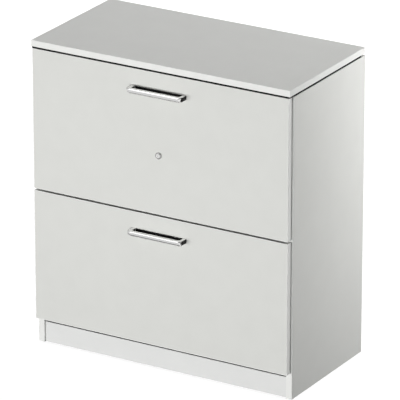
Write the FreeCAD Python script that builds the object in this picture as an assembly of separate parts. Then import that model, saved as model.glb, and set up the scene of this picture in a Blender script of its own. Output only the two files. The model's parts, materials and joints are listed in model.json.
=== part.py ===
import FreeCAD, Part
import math
import os

from FreeCAD import Vector

# Two-drawer lateral filing cabinet of faced board, with steel drawer boxes on ball slides.
# Millimetres. X runs to the right, Y to the back and Z up. The origin is on the floor, in the
# middle of the bounding box.

# Whole cabinet
cabinet_width = 800.0
cabinet_height = 886.0
cabinet_depth = 406.0
board = 18.0
floor_clearance = 4.0
edge_band = 2.0
edge_radius = 1.5

# Carcass
shadow_gap = 5.0
strip_inset = 2.0
strip_width = 9.0
strip_play = 0.5
plinth_height = 78.0
plinth_recess = 6.0
plinth_strip_height = 18.5
top_rail_width = 90.0
back_thickness = 8.0
back_inset = 10.0
groove_depth = 8.0
groove_play = 0.2

# Drawer fronts
front_thickness = 18.0
front_reveal = 4.0
front_stand_off = 3.0
front_lap = 2.0
front_gap = 5.5
lower_front_height = 376.5
bumper_radius = 4.0
bumper_inset = 30.0
bumper_play = 0.2

# Bow handles and the finger recess behind each
handle_spacing = 160.0
handle_strap = 12.0
handle_height = 15.0
handle_projection = 31.0
handle_bend = 13.0
handle_inner_bend = 5.0
handle_round = 4.0
handle_drop = 54.5
handle_tap_depth = 14.0
handle_screw_radius = 2.0
recess_height = 13.0
recess_depth = 11.0
recess_wall = 1.2
recess_corner = 4.0
recess_end_gap = 0.5

# Ball slides
slide_space = 13.0
slide_height = 45.6
slide_sheet = 1.2
slide_play = 0.8
slide_front_gap = 2.0
slide_rear_gap = 15.0
slide_rise = 45.0
ball_gap = 4.2
ball_play = 0.4
cage_length = 130.0
cage_sheet = 1.2
cage_margin = 1.2
balls_per_row = 6

# Steel drawer boxes
box_sheet = 1.2
box_rise = 30.0
box_headroom = 77.0
box_front_depth = 18.0
box_foot = 20.0
driver_play = 2.0
box_hem = 7.0
box_end_gap = 7.0
box_rear_flange = 12.0
box_floor_flange = 8.0
rail_wall = 1.5
rail_crown = 3.0
rail_skirt = 21.0
rail_play = 0.1
rail_end_gap = 1.0

# Lock, rack rods and their guides
lock_rise = 169.0
lock_ring_radius = 9.5
lock_ring_proud = 4.0
lock_ring_round = 1.0
lock_barrel_radius = 8.0
plug_radius = 6.0
plug_proud = 0.6
plug_round = 0.5
shaft_radius = 4.0
key_slot_width = 1.8
key_slot_height = 7.5
key_slot_depth = 9.0
gear_module = 1.2
gear_teeth = 16
points_per_flank = 6
gear_face = 4.4
gear_pressure = math.radians(25.0)
gear_backlash = 0.25
gear_root_factor = 1.25
trailing_rack_teeth = 6
leading_rack_teeth = 2
rod_width = 6.0
rod_thickness = 4.0
rod_set_back = 9.0
rod_clear = 2.0
rod_play = 0.3
rod_tail = 24.0
case_half_height = 28.0
case_wall = 3.0
case_cover = 2.5
guide_wall = 4.0
guide_height = 12.0
guide_inset = 40.0
strike_sheet = 1.5
strike_margin = 10.0
strike_play = 1.5
catch_sheet = 2.0
catch_drop = 2.0
catch_leg = 28.0

# Levelling feet
foot_inset_x = 42.0
foot_inset_y = 40.0
foot_pad_radius = 19.0
foot_pad_height = 6.0
foot_pad_round = 2.0
foot_stem_radius = 5.0
foot_collar_radius = 8.5
foot_collar_height = 8.0
foot_stem_top_gap = 6.0
socket_size = 36.0
socket_height = 30.0
access_radius = 5.5

# Fittings
turn_play = 0.05
fit_play = 0.05
screw_radius = 2.2
screw_head_radius = 4.0
screw_head_height = 2.2
screw_bite = 12.0
screw_spread = 250.0
back_screw_shift = 40.0
cam_radius = 7.5
cam_depth = 12.5
cam_inset = 34.0
cam_bolt_radius = 3.5
cam_bolt_bite = 11.0
cam_from_front = 120.0
cam_from_back = 70.0
slide_screw_inset = 45.0

# Levels and planes that follow from the sizes above
half_width = cabinet_width / 2
inner_x = half_width - board
front_half = half_width - front_reveal
face_y = (handle_projection - cabinet_depth) / 2
front_back_y = face_y + front_thickness
carcass_y = front_back_y + front_stand_off
rear_y = face_y + cabinet_depth
back_rear_y = rear_y - back_inset
back_front_y = back_rear_y - back_thickness
bottom_under = floor_clearance + plinth_height
bottom_top = bottom_under + board
plinth_y = carcass_y + plinth_recess
plinth_top = bottom_under - plinth_strip_height
top_under = cabinet_height - board
carcass_top = top_under - shadow_gap
rail_under = carcass_top - board
lower_front_bottom = bottom_under - front_lap
lower_front_top = lower_front_bottom + lower_front_height
upper_front_bottom = lower_front_top + front_gap
upper_front_top = carcass_top

slide_y0 = carcass_y + slide_front_gap
slide_y1 = back_front_y - slide_rear_gap
outer_half = slide_height / 2
middle_half = outer_half - slide_sheet - ball_gap
inner_half = middle_half - slide_sheet - ball_gap
middle_web = slide_sheet + slide_play
middle_lip = slide_space - slide_sheet - slide_play
outer_lip = middle_lip - 2 * slide_play
inner_lip = middle_web + slide_sheet + slide_play

box_half = inner_x - slide_space
box_web_y = front_back_y + box_front_depth
box_end_y = back_front_y - box_end_gap
box_rear_y = box_end_y - box_rear_flange

lock_z = upper_front_bottom + lock_rise
rod_y0 = front_back_y + rod_set_back
rod_y1 = rod_y0 + rod_thickness
rod_mid_y = (rod_y0 + rod_y1) / 2
gear_pitch_radius = gear_module * gear_teeth / 2
rack_pitch = math.pi * gear_module
rack_root_x = gear_pitch_radius + gear_root_factor * gear_module
rod_back_x = rack_root_x + rod_width
rod_up_end = rail_under - strike_sheet - rod_clear
rod_down_end = upper_front_bottom + rod_clear / 2

touch = 1e-4


# Plain shapes

def block(x0, x1, y0, y1, z0, z1):
    return Part.makeBox(x1 - x0, y1 - y0, z1 - z0, Vector(x0, y0, z0))


def bar_x(y, z, radius, x0, x1):
    return Part.makeCylinder(radius, x1 - x0, Vector(x0, y, z), Vector(1, 0, 0))


def bar_y(x, z, radius, y0, y1):
    return Part.makeCylinder(radius, y1 - y0, Vector(x, y0, z), Vector(0, 1, 0))


def bar_z(x, y, radius, z0, z1):
    return Part.makeCylinder(radius, z1 - z0, Vector(x, y, z0), Vector(0, 0, 1))


def mirrored(shape):
    return shape.mirror(Vector(0, 0, 0), Vector(1, 0, 0))


def pair(shape):
    """A right-hand shape and its left-hand twin."""
    return [shape, mirrored(shape)]


def cut_all(shape, tools):
    for tool in tools:
        shape = shape.cut(tool)
    return shape


def fuse_all(shapes):
    whole = shapes[0]
    for shape in shapes[1:]:
        whole = whole.fuse(shape)
    return whole.removeSplitter()


def prism_y(points, y0, y1):
    """A polygon of (x, z) corners drawn out along Y."""
    corners = [Vector(x, y0, z) for x, z in points]
    outline = Part.makePolygon(corners + corners[:1])
    return Part.Face(outline).extrude(Vector(0, y1 - y0, 0))


def rounded_plate_y(half_x, middle_z, half_z, corner, y0, y1):
    """A slab that faces along Y and has rounded corners in its outline."""
    slab = block(-half_x, half_x, y0, y1, middle_z - half_z, middle_z + half_z)
    uprights = [edge for edge in slab.Edges if edge.BoundBox.YLength > touch]
    return slab.makeFillet(corner, uprights)


def edges_in_plane(shape, axis, level, along=None):
    """Edges that lie in one plane, or only those of them that run along the second axis."""
    found = []
    for edge in shape.Edges:
        box = edge.BoundBox
        low = getattr(box, axis + "Min")
        high = getattr(box, axis + "Max")
        if abs(low - level) > touch or abs(high - level) > touch:
            continue
        if along is None or getattr(box, along + "Length") > touch:
            found.append(edge)
    return found


def rounded_strip(strip, axis, level, along=None):
    """An edge band whose outer corners are eased."""
    return strip.makeFillet(edge_radius, edges_in_plane(strip, axis, level, along))


def screw_y(x, z, head_y, tip_y):
    """A screw along Y with a round head outside head_y, and the tip at tip_y."""
    outward = math.copysign(1.0, head_y - tip_y)
    head_end = head_y + outward * screw_head_height
    shank = bar_y(x, z, screw_radius, min(head_y, tip_y), max(head_y, tip_y))
    head = bar_y(x, z, screw_head_radius, min(head_y, head_end), max(head_y, head_end))
    return fuse_all([shank, head])


def hole_y(x, z, y0, y1, radius=screw_radius):
    return bar_y(x, z, radius + fit_play, y0, y1)


def save(name, solids):
    Part.makeCompound(solids).exportStep("parts/" + name + ".step")


# Top

def top_screw_places():
    """Places of the screws that hold the top, over the front and rear rails."""
    strip_middle = strip_inset + strip_width / 2
    rows = [carcass_y + strip_middle, back_front_y - strip_middle]
    return [(side * screw_spread, y) for y in rows for side in (-1, 1)]


def top_screw_holes():
    reach = top_under + screw_bite
    return [bar_z(x, y, screw_radius + fit_play, rail_under, reach) for x, y in top_screw_places()]


def top_panel():
    core = block(-half_width + edge_band, half_width - edge_band, face_y + edge_band, rear_y - edge_band,
                 top_under, cabinet_height)
    return cut_all(core, top_screw_holes())


def top_edge_bands():
    front = block(-half_width, half_width, face_y, face_y + edge_band, top_under, cabinet_height)
    rear = block(-half_width, half_width, rear_y - edge_band, rear_y, top_under, cabinet_height)
    side = block(half_width - edge_band, half_width, face_y + edge_band, rear_y - edge_band,
                 top_under, cabinet_height)
    front = rounded_strip(front, "Y", face_y)
    rear = rounded_strip(rear, "Y", rear_y)
    side = rounded_strip(side, "X", half_width, "Y")
    return [front, rear] + pair(side)


def shadow_gap_strips():
    """Dark packing strips under the top, which leave a shadow gap round it, and over the front plinth.

    The front one has a lip that closes the gap over the upper drawer front, clear of it.
    """
    outer = half_width - strip_inset
    bed_end = carcass_y + strip_inset + strip_width
    end_y = back_front_y - strip_inset
    lip = block(-outer, outer, face_y + strip_inset, carcass_y, carcass_top + strip_play, top_under)
    bed = block(-outer, outer, carcass_y, bed_end, carcass_top, top_under)
    front = fuse_all([lip, bed])
    rear = block(-outer, outer, end_y - strip_width, end_y, carcass_top, top_under)
    side = block(outer - strip_width, outer, bed_end, end_y - strip_width, carcass_top, top_under)
    plinth = block(-inner_x, inner_x, plinth_y + strip_inset, plinth_y + board, plinth_top, bottom_under)
    holes = top_screw_holes()
    return [cut_all(front, holes), cut_all(rear, holes), plinth] + pair(side)


def top_screws():
    screws = []
    for x, y in top_screw_places():
        shank = bar_z(x, y, screw_radius, rail_under, top_under + screw_bite)
        head = bar_z(x, y, screw_head_radius, rail_under - screw_head_height, rail_under)
        screws.append(fuse_all([shank, head]))
    return screws


# Carcass boards

def cam_places():
    """Right-hand cam fittings: (y, underside of the board they pull in)."""
    bottom = [carcass_y + cam_from_front, back_front_y - cam_from_back]
    rails = [carcass_y + top_rail_width / 2, back_front_y - top_rail_width / 2]
    return [(y, bottom_under) for y in bottom] + [(y, rail_under) for y in rails]


def cam_fitting(y, under):
    """One right-hand cam disc with the bolt that it draws in."""
    middle = under + board / 2
    disc_x = inner_x - cam_inset
    disc = bar_z(disc_x, y, cam_radius, under, under + cam_depth)
    bolt = bar_x(y, middle, cam_bolt_radius, disc_x + cam_radius, inner_x + cam_bolt_bite)
    return [disc, bolt.cut(disc)]


def cam_fittings():
    fittings = []
    for y, under in cam_places():
        for solid in cam_fitting(y, under):
            fittings += pair(solid)
    return fittings


def cam_bores():
    bores = []
    for y, under in cam_places():
        middle = under + board / 2
        disc_x = inner_x - cam_inset
        disc = bar_z(disc_x, y, cam_radius + fit_play, under, under + cam_depth + fit_play)
        bolt = bar_x(y, middle, cam_bolt_radius + fit_play, disc_x, inner_x + cam_bolt_bite + fit_play)
        bores += pair(disc) + pair(bolt)
    return bores


def slide_levels():
    return [lower_front_bottom + box_rise + slide_rise, upper_front_bottom + box_rise + slide_rise]


def slide_screw_rows():
    """Places of the screws in each slide member: (y, z)."""
    rows = [slide_y0 + slide_screw_inset, slide_y1 - slide_screw_inset]
    return [(y, z) for z in slide_levels() for y in rows]


def slide_screw_holes():
    return [bar_x(y, z, screw_radius + fit_play, inner_x - slide_sheet, inner_x + screw_bite)
            for y, z in slide_screw_rows()]


def slide_screws():
    """Countersunk screws, flush in the fixed slide members."""
    screws = []
    for y, z in slide_screw_rows():
        screws += pair(bar_x(y, z, screw_radius, inner_x - slide_sheet, inner_x + screw_bite))
    return screws


def right_side():
    panel = block(inner_x, half_width, carcass_y + edge_band, rear_y, floor_clearance, carcass_top)
    groove = block(inner_x, inner_x + groove_depth, back_front_y - groove_play, back_rear_y + groove_play,
                   bottom_under, carcass_top)
    return cut_all(panel, [groove] + cam_bores() + slide_screw_holes())


def side_edge_bands():
    band = block(inner_x, half_width, carcass_y, carcass_y + edge_band, floor_clearance, carcass_top)
    return pair(rounded_strip(band, "Y", carcass_y))


def foot_places():
    """Name and middle of each levelling foot."""
    x = inner_x - foot_inset_x
    front = plinth_y + board + foot_inset_y
    rear = back_rear_y - board - foot_inset_y
    return [("front_left", -x, front), ("front_right", x, front),
            ("rear_left", -x, rear), ("rear_right", x, rear)]


def back_screw_places():
    """Places of the screws through the back: (x, z)."""
    levels = [bottom_under + board / 2, carcass_top - board / 2]
    spread = screw_spread + back_screw_shift
    return [(column * spread, z) for z in levels for column in (-1, 0, 1)]


def back_screw_holes():
    return [hole_y(x, z, back_front_y - screw_bite, back_rear_y) for x, z in back_screw_places()]


def bottom_panel():
    panel = block(-inner_x, inner_x, carcass_y, back_front_y, bottom_under, bottom_top)
    access = [bar_z(x, y, access_radius, bottom_under, bottom_top) for name, x, y in foot_places()]
    return cut_all(panel, cam_bores() + back_screw_holes() + access)


def top_front_rail():
    rail = block(-inner_x, inner_x, carcass_y, carcass_y + top_rail_width, rail_under, carcass_top)
    mortise = mirrored(rod_slot(strike_play, rail_under, carcass_top))
    return cut_all(rail, cam_bores() + top_screw_holes() + [mortise])


def top_rear_rail():
    rail = block(-inner_x, inner_x, back_front_y - top_rail_width, back_front_y, rail_under, carcass_top)
    return cut_all(rail, cam_bores() + top_screw_holes() + back_screw_holes())


def back_panel():
    half = inner_x + groove_depth - groove_play
    panel = block(-half, half, back_front_y, back_rear_y, bottom_under, carcass_top)
    return cut_all(panel, back_screw_holes())


def back_screws():
    return [screw_y(x, z, back_rear_y, back_front_y - screw_bite) for x, z in back_screw_places()]


def front_plinth():
    return block(-inner_x, inner_x, plinth_y, plinth_y + board, floor_clearance, plinth_top)


def rear_plinth():
    return block(-inner_x, inner_x, back_rear_y - board, back_rear_y, floor_clearance, bottom_under)


# Levelling feet

def foot_sockets():
    """Blocks under the bottom panel, tapped for the feet."""
    under = bottom_under - socket_height
    reach = socket_size / 2
    sockets = []
    for name, x, y in foot_places():
        socket = block(x - reach, x + reach, y - reach, y + reach, under, bottom_under)
        sockets.append(socket.cut(bar_z(x, y, foot_stem_radius + turn_play, under, bottom_under)))
    return sockets


def foot(x, y):
    """Pad and stem; the collar is up against the socket when the foot is right in."""
    collar_top = bottom_under - socket_height
    pad = bar_z(x, y, foot_pad_radius, 0, foot_pad_height)
    pad = pad.makeFillet(foot_pad_round, edges_in_plane(pad, "Z", foot_pad_height, "X"))
    stem = bar_z(x, y, foot_stem_radius, foot_pad_height, bottom_under - foot_stem_top_gap)
    collar = bar_z(x, y, foot_collar_radius, collar_top - foot_collar_height, collar_top)
    return fuse_all([pad, stem, collar])


# Ball slides: right-hand members, drawn as (distance in from the cabinet side, height)

def slide_prism(points, level):
    corners = [(inner_x - depth, level + height) for depth, height in points]
    return prism_y(corners, slide_y0, slide_y1)


def channel(web, lip, half, level):
    """A folded channel with its web at one depth and its flanges running to the lip."""
    inward = math.copysign(slide_sheet, lip - web)
    inner = half - slide_sheet
    points = [(web, -half), (lip, -half), (lip, -inner), (web + inward, -inner),
              (web + inward, inner), (lip, inner), (lip, half), (web, half)]
    return slide_prism(points, level)


def outer_slides(level):
    member = channel(0.0, outer_lip, outer_half, level)
    return pair(cut_all(member, slide_screw_holes()))


def middle_slides(level):
    return pair(channel(middle_web, middle_lip, middle_half, level))


def inner_slides(level):
    member = channel(slide_space, inner_lip, inner_half, level)
    return pair(cut_all(member, rivet_holes(level)))


def ball_cage(level, depth, height):
    """A strip with one row of balls, between two slide flanges."""
    ball_radius = ball_gap / 2 - ball_play
    pocket = ball_radius + ball_play
    x = inner_x - depth
    z = level + height
    middle_y = (slide_y0 + slide_y1) / 2
    start = middle_y - cage_length / 2
    reach = pocket + cage_margin
    strip = block(x - reach, x + reach, start, start + cage_length, z - cage_sheet / 2, z + cage_sheet / 2)
    balls = []
    for index in range(balls_per_row):
        y = start + cage_length * (index + 0.5) / balls_per_row
        strip = strip.cut(bar_z(x, y, pocket, z - cage_sheet, z + cage_sheet))
        balls.append(Part.makeSphere(ball_radius, Vector(x, y, z)))
    return [strip] + balls


def ball_cages(level, depth, half):
    """Both rows on both sides, outside the flanges of the member with this half height."""
    solids = []
    for height in (half + ball_gap / 2, -half - ball_gap / 2):
        for solid in ball_cage(level, depth, height):
            solids += pair(solid)
    return solids


def outer_cages(level):
    return ball_cages(level, (middle_web + outer_lip) / 2, middle_half)


def inner_cages(level):
    return ball_cages(level, (inner_lip + middle_lip) / 2, inner_half)


def rivet_places():
    return [slide_y0 + slide_screw_inset, slide_y1 - slide_screw_inset]


def rivet_holes(level):
    start = box_half - box_sheet
    return [bar_x(y, level, screw_radius + fit_play, start, box_half + slide_sheet) for y in rivet_places()]


def rivets(level):
    """Rivets between the drawer wall and the moving slide member."""
    solids = []
    head_start = box_half + slide_sheet
    for y in rivet_places():
        shank = bar_x(y, level, screw_radius, box_half - box_sheet, head_start)
        head = bar_x(y, level, screw_head_radius, head_start, head_start + slide_sheet)
        solids += pair(fuse_all([shank, head]))
    return solids


# Drawer fronts and handles

def handle_level(front_top):
    return front_top - handle_drop


def bow_outline(half, depth, bend, z):
    """Plan of the bow: square at the drawer face and rounded at the two outer corners."""
    out_y = face_y - depth
    turn = bend * (1 - math.sqrt(0.5))
    left_start = Vector(-half, out_y + bend, z)
    left_middle = Vector(-half + turn, out_y + turn, z)
    left_end = Vector(-half + bend, out_y, z)
    right_start = Vector(half - bend, out_y, z)
    right_middle = Vector(half - turn, out_y + turn, z)
    right_end = Vector(half, out_y + bend, z)
    edges = [
        Part.makeLine(Vector(-half, face_y, z), left_start),
        Part.Arc(left_start, left_middle, left_end).toShape(),
        Part.makeLine(left_end, right_start),
        Part.Arc(right_start, right_middle, right_end).toShape(),
        Part.makeLine(right_end, Vector(half, face_y, z)),
        Part.makeLine(Vector(half, face_y, z), Vector(-half, face_y, z)),
    ]
    return Part.Face(Part.Wire(edges))


def handle(level):
    base = level - handle_height / 2
    outer_span = handle_spacing / 2 + handle_strap / 2
    inner_span = handle_spacing / 2 - handle_strap / 2
    outer = bow_outline(outer_span, handle_projection, handle_bend, base)
    inner = bow_outline(inner_span, handle_projection - handle_strap, handle_inner_bend, base)
    rise = Vector(0, 0, handle_height)
    bow = outer.extrude(rise).cut(inner.extrude(rise))
    long_edges = []
    for z in (base, base + handle_height):
        for edge in edges_in_plane(bow, "Z", z):
            if edge.BoundBox.YMin < face_y - touch:
                long_edges.append(edge)
    bow = bow.makeFillet(handle_round, long_edges)
    tap_end = face_y - handle_tap_depth
    taps = [hole_y(x, level, tap_end, face_y, handle_screw_radius) for x in handle_screw_columns()]
    return cut_all(bow, taps)


def handle_screw_columns():
    return [-handle_spacing / 2, handle_spacing / 2]


def handle_screws(level):
    screws = []
    tip = face_y - handle_tap_depth + fit_play
    for x in handle_screw_columns():
        shank = bar_y(x, level, handle_screw_radius, tip, front_back_y)
        head = bar_y(x, level, screw_head_radius, front_back_y, front_back_y + screw_head_height)
        screws.append(fuse_all([shank, head]))
    return screws


def recess_half_length():
    return handle_spacing / 2 - handle_strap / 2 - recess_end_gap


def recess_pocket(level):
    return rounded_plate_y(recess_half_length(), level, recess_height / 2, recess_corner,
                           face_y, face_y + recess_depth)


def recess_cup(level):
    """Black moulded cup, let into the front flush with its face."""
    outer = rounded_plate_y(recess_half_length() - fit_play, level, recess_height / 2 - fit_play,
                            recess_corner, face_y, face_y + recess_depth)
    hollow = rounded_plate_y(recess_half_length() - recess_wall, level, recess_height / 2 - recess_wall,
                             recess_corner - recess_wall, face_y, face_y + recess_depth - recess_wall)
    return outer.cut(hollow)


def box_levels(front_bottom, front_top):
    """Lower and upper edge of the steel box behind a front."""
    return front_bottom + box_rise, front_top - box_headroom


def box_screw_places(z0, z1):
    """Places of the screws that hold the front to the feet of the steel box: (x, z)."""
    levels = [z0 + box_foot, z1 - box_foot]
    x = box_half - box_foot / 2
    return [(side * x, z) for z in levels for side in (-1, 1)]


def box_screws(z0, z1):
    tip = front_back_y - screw_bite
    head = front_back_y + box_sheet
    return [screw_y(x, z, head, tip) for x, z in box_screw_places(z0, z1)]


def box_screw_holes(z0, z1):
    start = front_back_y - screw_bite - fit_play
    return [hole_y(x, z, start, front_back_y + box_sheet) for x, z in box_screw_places(z0, z1)]


def front_board(front_bottom, front_top):
    level = handle_level(front_top)
    slab = block(-front_half + edge_band, front_half - edge_band, face_y, front_back_y,
                 front_bottom + edge_band, front_top - edge_band)
    bores = [hole_y(x, level, face_y, front_back_y, handle_screw_radius) for x in handle_screw_columns()]
    screw_holes = box_screw_holes(*box_levels(front_bottom, front_top))
    return cut_all(slab, [recess_pocket(level)] + bores + screw_holes)


def front_bands(front_bottom, front_top):
    side = block(front_half - edge_band, front_half, face_y, front_back_y, front_bottom, front_top)
    side = rounded_strip(side, "X", front_half)
    across = front_half - edge_band
    lower = block(-across, across, face_y, front_back_y, front_bottom, front_bottom + edge_band)
    upper = block(-across, across, face_y, front_back_y, front_top - edge_band, front_top)
    lower = rounded_strip(lower, "Z", front_bottom, "X")
    upper = rounded_strip(upper, "Z", front_top, "X")
    return pair(side) + [lower, upper]


def bumpers(front_bottom, front_top):
    """Soft pads that meet the front edges of the cabinet sides."""
    x = half_width - board / 2
    end = carcass_y - bumper_play
    solids = []
    for z in (front_bottom + bumper_inset, front_top - bumper_inset):
        solids += pair(bar_y(x, z, bumper_radius, front_back_y, end))
    return solids


# Steel drawer boxes

def box_front(z0, z1):
    """Inner front: a web with returns to the board front and feet screwed to it."""
    web = block(-box_half, box_half, box_web_y, box_web_y + box_sheet, z0, z1)
    side = block(box_half - box_sheet, box_half, front_back_y, box_web_y, z0, z1)
    foot_plate = block(box_half - box_foot, box_half, front_back_y, front_back_y + box_sheet, z0, z1)
    whole = fuse_all([web] + pair(side) + pair(foot_plate))
    access = [bar_y(x, z, screw_head_radius + driver_play, box_web_y, box_web_y + box_sheet)
              for x, z in box_screw_places(z0, z1)]
    return cut_all(whole, access + box_screw_holes(z0, z1))


def box_sides(z0, z1):
    """Side walls with a stiffening hem turned out along the top."""
    wall = block(box_half - box_sheet, box_half, box_web_y + box_sheet, box_end_y, z0, z1)
    hem = block(box_half, box_half + box_hem, box_web_y + box_sheet, box_end_y, z1 - box_sheet, z1)
    return pair(cut_all(fuse_all([wall, hem]), rivet_holes(z0 + slide_rise)))


def box_rear(z0, z1):
    half = box_half - box_sheet
    wall = block(-half, half, box_rear_y - box_sheet, box_rear_y, z0, z1)
    flange = block(half - box_sheet, half, box_rear_y, box_end_y, z0, z1)
    return fuse_all([wall] + pair(flange))


def box_floor(z0):
    half = box_half - box_sheet
    start = box_web_y + box_sheet
    end = box_rear_y - box_sheet
    top = z0 + box_floor_flange + box_sheet
    sheet = block(-half, half, start, end, top - box_sheet, top)
    flange = block(half - box_sheet, half, start, end, z0, top - box_sheet)
    return fuse_all([sheet] + pair(flange))


def hang_rails(top):
    """Cap rails on the front and rear walls, which carry the hooks of the hanging files."""
    half = box_half - 2 * box_sheet - rail_end_gap
    rails = []
    for wall in (box_web_y, box_rear_y - box_sheet):
        slot_start = wall - rail_play
        slot_end = wall + box_sheet + rail_play
        skirt_end = top - rail_skirt
        rail = block(-half, half, slot_start - rail_wall, slot_end + rail_wall, skirt_end, top + rail_crown)
        rails.append(rail.cut(block(-half, half, slot_start, slot_end, skirt_end, top)))
    return rails


# Lock

def lock_housing():
    """Barrel through the front with its ring, and the gear case behind the front."""
    ring = bar_y(0, lock_z, lock_ring_radius, face_y - lock_ring_proud, face_y)
    ring = ring.makeFillet(lock_ring_round, edges_in_plane(ring, "Y", face_y - lock_ring_proud))
    barrel = bar_y(0, lock_z, lock_barrel_radius, face_y, front_back_y)
    half = rod_back_x + rod_play + case_wall
    case = block(-half, half, front_back_y, rod_y1 + rod_play + case_cover,
                 lock_z - case_half_height, lock_z + case_half_height)
    channel_half = rod_back_x + rod_play
    rod_way = block(-channel_half, channel_half, rod_y0 - rod_play, rod_y1 + rod_play,
                    lock_z - case_half_height, lock_z + case_half_height)
    plug_bore = bar_y(0, lock_z, plug_radius + turn_play, face_y - lock_ring_proud, front_back_y + turn_play)
    shaft_bore = bar_y(0, lock_z, shaft_radius + turn_play, front_back_y, rod_y1 + rod_play + case_cover)
    return cut_all(fuse_all([ring, barrel, case]), [rod_way, plug_bore, shaft_bore])


def lock_plug():
    """Turning plug with the key slot upright, and the shaft that carries the pinion."""
    front = face_y - lock_ring_proud - plug_proud
    drum = bar_y(0, lock_z, plug_radius, front, front_back_y)
    drum = drum.makeFillet(plug_round, edges_in_plane(drum, "Y", front))
    shaft = bar_y(0, lock_z, shaft_radius, front_back_y, rod_y1 + rod_play + case_cover)
    slot = block(-key_slot_width / 2, key_slot_width / 2, front, front + key_slot_depth,
                 lock_z - key_slot_height / 2, lock_z + key_slot_height / 2)
    return fuse_all([drum, shaft]).cut(slot)


def polar(radius, angle, y):
    return Vector(radius * math.cos(angle), y, lock_z + radius * math.sin(angle))


def involute(angle):
    return math.tan(angle) - angle


def tooth_half_angle(radius):
    """Half the angle that a pinion tooth fills at this radius."""
    base_radius = gear_pitch_radius * math.cos(gear_pressure)
    at_pitch = (rack_pitch / 2 - gear_backlash / 2) / (2 * gear_pitch_radius)
    roll = math.acos(min(1.0, base_radius / radius))
    return at_pitch + involute(gear_pressure) - involute(roll)


def lock_pinion():
    y0 = rod_mid_y - gear_face / 2
    tip = gear_pitch_radius + gear_module
    root = gear_pitch_radius - gear_root_factor * gear_module
    base_radius = gear_pitch_radius * math.cos(gear_pressure)
    flank_step = (tip - base_radius) / (points_per_flank - 1)
    radii = [base_radius + flank_step * step for step in range(points_per_flank)]
    foot_angle = tooth_half_angle(base_radius)
    step_angle = 2 * math.pi / gear_teeth
    edges = []
    for tooth in range(gear_teeth):
        middle = tooth * step_angle
        rising = [polar(radius, middle - tooth_half_angle(radius), y0) for radius in radii]
        falling = [polar(radius, middle + tooth_half_angle(radius), y0) for radius in reversed(radii)]
        for points in (rising, falling):
            curve = Part.BSplineCurve()
            curve.interpolate(points)
            edges.append(curve.toShape())
        root_start = polar(root, middle + foot_angle, y0)
        root_middle = polar(root, middle + step_angle / 2, y0)
        root_end = polar(root, middle + step_angle - foot_angle, y0)
        edges.append(Part.Arc(rising[-1], polar(tip, middle, y0), falling[0]).toShape())
        edges.append(Part.makeLine(falling[-1], root_start))
        edges.append(Part.Arc(root_start, root_middle, root_end).toShape())
        edges.append(Part.makeLine(root_end, polar(base_radius, middle + step_angle - foot_angle, y0)))
    outline = Part.Wire(Part.__sortEdges__(edges))
    wheel = Part.Face(outline).extrude(Vector(0, gear_face, 0))
    return wheel.cut(bar_y(0, lock_z, shaft_radius + fit_play, y0, y0 + gear_face))


def rack_tooth(middle_z):
    """One right-hand rack tooth, pointing at the pinion."""
    spread = math.tan(gear_pressure)
    at_pitch = rack_pitch / 4 - gear_backlash / 4
    tip_half = at_pitch - gear_module * spread
    root_half = at_pitch + gear_root_factor * gear_module * spread
    tip_x = gear_pitch_radius - gear_module
    points = [(tip_x, middle_z - tip_half), (tip_x, middle_z + tip_half),
              (rack_root_x, middle_z + root_half), (rack_root_x, middle_z - root_half)]
    return prism_y(points, rod_y0, rod_y1)


def rack_rod(z0, z1, above, below):
    """A right-hand rod with rack teeth above and below the lock."""
    bar = block(rack_root_x, rod_back_x, rod_y0, rod_y1, z0, z1)
    teeth = [rack_tooth(lock_z + (index + 0.5) * rack_pitch) for index in range(above)]
    teeth += [rack_tooth(lock_z - (index + 0.5) * rack_pitch) for index in range(below)]
    return fuse_all([bar] + teeth)


def lock_rod_up():
    return mirrored(rack_rod(lock_z - rod_tail, rod_up_end, leading_rack_teeth, trailing_rack_teeth))


def lock_rod_down():
    return rack_rod(rod_down_end, lock_z + rod_tail, trailing_rack_teeth, leading_rack_teeth)


def rod_slot(play, z0, z1):
    """Room for the right-hand rod with some play all round."""
    return block(rack_root_x - play, rod_back_x + play, rod_y0 - play, rod_y1 + play, z0, z1)


def rod_guide(middle_z):
    """A right-hand guide block with a slot for the rod."""
    z0 = middle_z - guide_height / 2
    z1 = middle_z + guide_height / 2
    body = block(rack_root_x - guide_wall, rod_back_x + guide_wall, front_back_y, rod_y1 + guide_wall, z0, z1)
    return body.cut(rod_slot(rod_play, z0, z1))


def rod_guides():
    upper = mirrored(rod_guide(upper_front_top - guide_inset))
    lower = rod_guide(upper_front_bottom + guide_inset)
    return [upper, lower]


def strike_plate():
    """Plate under the top rail that the raised rod passes through."""
    plate = block(rack_root_x - strike_margin, rod_back_x + strike_margin, carcass_y + strike_play,
                  rod_y1 + strike_margin, rail_under - strike_sheet, rail_under)
    return mirrored(plate.cut(rod_slot(strike_play, rail_under - strike_sheet, rail_under)))


def lock_catch():
    """Angle on the lower front that the lowered rod drops into."""
    x0 = rack_root_x - strike_margin
    x1 = rod_back_x + strike_margin
    top = lower_front_top - catch_drop
    upright = block(x0, x1, front_back_y, front_back_y + catch_sheet, top - catch_leg, top)
    ledge = block(x0, x1, front_back_y, rod_y1 + strike_margin, top - catch_sheet, top)
    return fuse_all([upright, ledge]).cut(rod_slot(strike_play, top - catch_sheet, top))


# Files

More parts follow.
